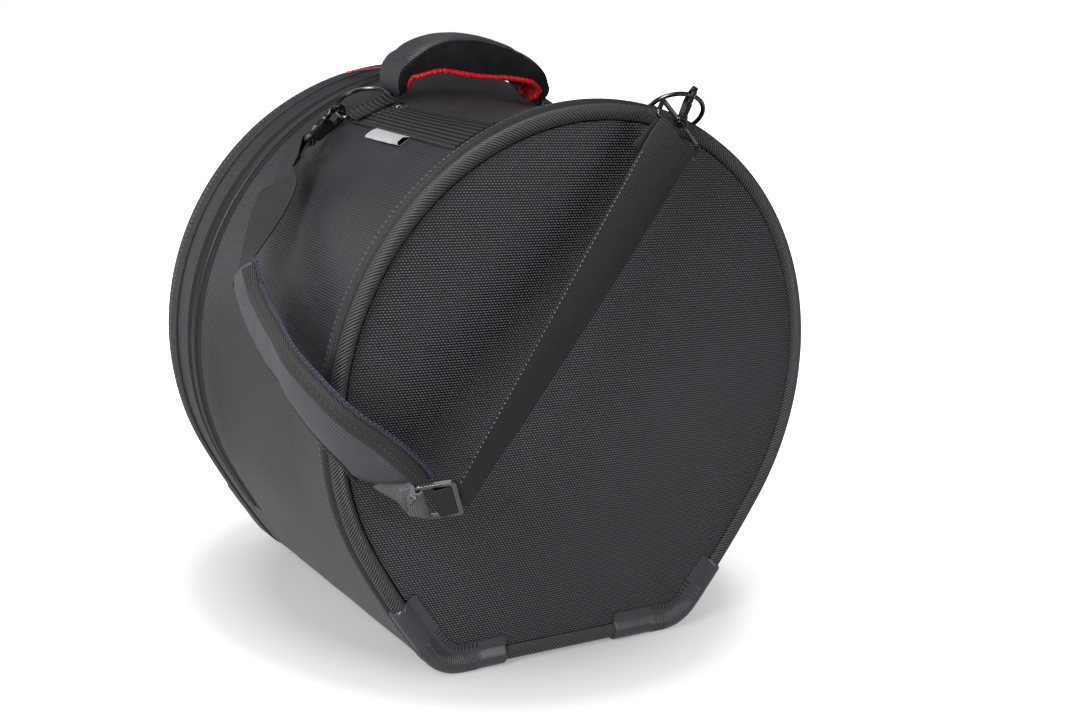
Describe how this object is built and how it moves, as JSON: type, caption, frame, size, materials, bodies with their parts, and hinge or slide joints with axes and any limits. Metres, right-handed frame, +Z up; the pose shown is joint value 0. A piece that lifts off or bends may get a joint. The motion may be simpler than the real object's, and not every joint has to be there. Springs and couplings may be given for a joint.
{
  "type": "tom drum bag",
  "caption": "Round padded drum bag with a zipped rear lid, piped seams, moulded corner guards, a wrapped carrying handle and a clip-on shoulder strap.",
  "frame": {"origin": "on the flat underside of the shell, below the middle of the drum", "axes": "+X to the right seen from the front panel, +Y from the front panel to the zipped lid, +Z up through the handle"},
  "size_m": [0.4609, 0.3771, 0.4536],
  "materials": {
    "shell_cloth": "fine woven polyester with a slight sheen",
    "panel_cloth": "heavy basket weave",
    "foam": "closed-cell foam sheet",
    "lining": "plain lining cloth",
    "piping_twill": "diagonal twill",
    "moulded_plastic": "moulded, satin",
    "band_web": "ribbed webbing",
    "zip_tape": "zip tape with nylon coil",
    "gunmetal": "dark gunmetal plating",
    "handle_cloth": "soft velour",
    "red_satin": "satin",
    "label_white": "woven satin tape, blank",
    "pad_cloth": "smooth knit over foam",
    "mesh": "open mesh",
    "grey_web": "light grey webbing",
    "strap_web": "dark webbing",
    "pull_cord": "moulded cord with red trim"
  },
  "bodies": {
    "bag": {"shell_cover": "shell_cloth", "shell_foam": "foam", "shell_lining": "lining", "front_cover": "panel_cloth", "front_foam": "foam", "front_lining": "lining", "front_piping": "piping_twill", "front_left_corner_guard": "moulded_plastic", "front_right_corner_guard": "moulded_plastic", "left_band": "band_web", "right_band": "band_web", "left_ring_loop": "band_web", "right_ring_loop": "band_web", "label_loop": "label_white", "body_zip_tape": "zip_tape", "hinge_strip": "shell_cloth", "left_handle_rivet": "gunmetal", "right_handle_rivet": "gunmetal"},
    "lid": {"lid_band_cover": "shell_cloth", "lid_band_foam": "foam", "lid_band_lining": "lining", "rear_cover": "panel_cloth", "rear_foam": "foam", "rear_lining": "lining", "rear_piping": "piping_twill", "rear_left_corner_guard": "moulded_plastic", "rear_right_corner_guard": "moulded_plastic", "lid_zip_tape": "zip_tape", "lid_hinge_strip": "shell_cloth"},
    "strap": {"left_swivel_loop": "gunmetal", "right_swivel_loop": "gunmetal", "strap_rear_webbing": "strap_web", "shoulder_pad": "pad_cloth", "shoulder_pad_backing": "mesh", "pad_end_webbing": "grey_web", "slide_buckle": "gunmetal", "strap_front_webbing": "strap_web"},
    "handle": {"handle_cover": "handle_cloth", "handle_lining": "red_satin", "handle_webbing": "band_web"},
    "left_ring": {"left_ring": "gunmetal"},
    "right_ring": {"right_ring": "gunmetal"},
    "left_hook": {"left_hook": "gunmetal"},
    "right_hook": {"right_hook": "gunmetal"},
    "left_gate": {"left_hook_gate": "gunmetal"},
    "right_gate": {"right_hook_gate": "gunmetal"},
    "left_slider": {"left_slider": "gunmetal"},
    "right_slider": {"right_slider": "gunmetal"},
    "left_pull": {"left_pull": "pull_cord"},
    "right_pull": {"right_pull": "pull_cord"}
  },
  "joints": [
    {"name": "lid_hinge", "type": "hinge", "parent": "bag", "child": "lid", "pos_m": [0, 0.0902, 0], "axis": [-1, 0, 0], "range_deg": [0, 120]},
    {"name": "strap_swing", "type": "hinge", "parent": "bag", "child": "strap", "pos_m": [-0.12511, 0.0299, 0.39004], "axis": [0.7616, -0.6337, 0.1358], "range_deg": [-9, 0]},
    {"name": "handle_tilt", "type": "hinge", "parent": "bag", "child": "handle", "pos_m": [-0.07994, 0.026, 0.41876], "axis": [1, 0, -0.0054], "range_deg": [-12, 12], "stiffness_Nm_per_rad": 0.5},
    {"name": "left_ring_turn", "type": "hinge", "parent": "bag", "child": "left_ring", "pos_m": [-0.10432, 0.02121, 0.39674], "axis": [0.9088, 0, 0.4173], "range_deg": [-3, 3]},
    {"name": "right_ring_turn", "type": "hinge", "parent": "bag", "child": "right_ring", "pos_m": [0.07637, -0.11941, 0.40743], "axis": [0.947, 0, -0.3211], "range_deg": [-1, 3]},
    {"name": "left_hook_swivel", "type": "hinge", "parent": "strap", "child": "left_hook", "pos_m": [-0.12507, 0.02992, 0.39006], "axis": [-0.7858, -0.4359, -0.4387], "range_deg": [-8, 8]},
    {"name": "right_hook_swivel", "type": "hinge", "parent": "strap", "child": "right_hook", "pos_m": [0.07856, -0.13996, 0.42626], "axis": [-0.6654, -0.6133, -0.4255], "range_deg": [-8, 8]},
    {"name": "left_gate_press", "type": "hinge", "parent": "left_hook", "child": "left_gate", "pos_m": [-0.14084, 0.02053, 0.38775], "axis": [0.5187, -0.8508, -0.0837], "range_deg": [-17, 0], "stiffness_Nm_per_rad": 0.02},
    {"name": "right_gate_press", "type": "hinge", "parent": "right_hook", "child": "right_gate", "pos_m": [0.0674, -0.15444, 0.42347], "axis": [0.7421, -0.482, -0.4658], "range_deg": [-17, 0], "stiffness_Nm_per_rad": 0.02},
    {"name": "left_slider_run", "type": "hinge", "parent": "bag", "child": "left_slider", "pos_m": [0, 0.0902, 0.20807], "axis": [0, 1, 0], "range_deg": [-102, 0]},
    {"name": "right_slider_run", "type": "hinge", "parent": "bag", "child": "right_slider", "pos_m": [0, 0.0902, 0.20807], "axis": [0, 1, 0], "range_deg": [0, 108]},
    {"name": "left_pull_lift", "type": "hinge", "parent": "left_slider", "child": "left_pull", "pos_m": [-0.03417, 0.0902, 0.42373], "axis": [0, 1, 0], "range_deg": [0, 80]},
    {"name": "right_pull_lift", "type": "hinge", "parent": "right_slider", "child": "right_pull", "pos_m": [-0.01291, 0.0902, 0.4256], "axis": [0, -1, 0], "range_deg": [0, 80]}
  ]
}
